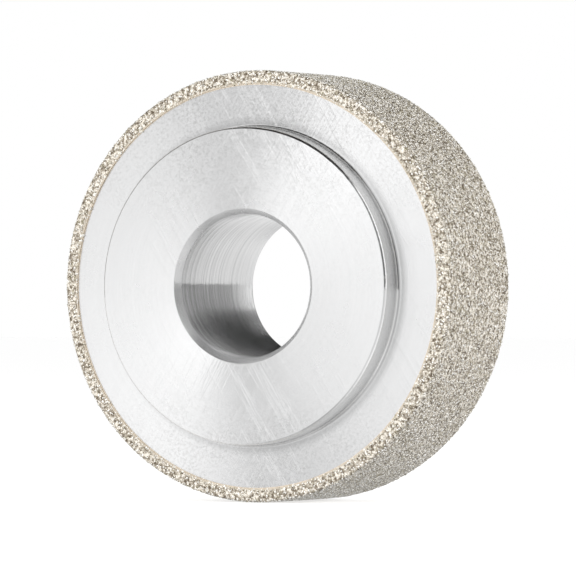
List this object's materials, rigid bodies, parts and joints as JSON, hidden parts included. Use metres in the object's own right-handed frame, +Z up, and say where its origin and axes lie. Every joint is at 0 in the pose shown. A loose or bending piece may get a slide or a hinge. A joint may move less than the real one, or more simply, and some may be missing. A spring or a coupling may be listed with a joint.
{
  "type": "diamond grinding wheel",
  "caption": "Electroplated diamond grinding wheel: aluminium hub with a raised boss and plain bore, grit on its rim and on a narrow band of each face.",
  "frame": {"origin": "the middle of the wheel's box: on the bore's axis, half way between the boss face and the back", "axes": "+Y along the wheel's axis from the boss face to the back, so the boss faces -Y; +Z up"},
  "size_m": [0.06, 0.023, 0.06],
  "materials": {
    "turned_aluminium": "fine turned, with concentric tool marks, light scratches and radial bands of sheen",
    "copper_strike": "thin matt tan plating, seen only as a line inside the grit band",
    "nickel_bond": "satin electroplated nickel, built up in meniscuses between the crystals",
    "diamond_grit": "sharp sparkling crystals, clear to olive and yellow, in one dense layer"
  },
  "bodies": {
    "root": {"hub": "turned_aluminium", "copper_strike": "copper_strike", "nickel_bond": "nickel_bond", "front_grit": "diamond_grit", "rim_grit": "diamond_grit", "rear_grit": "diamond_grit"}
  },
  "joints": []
}
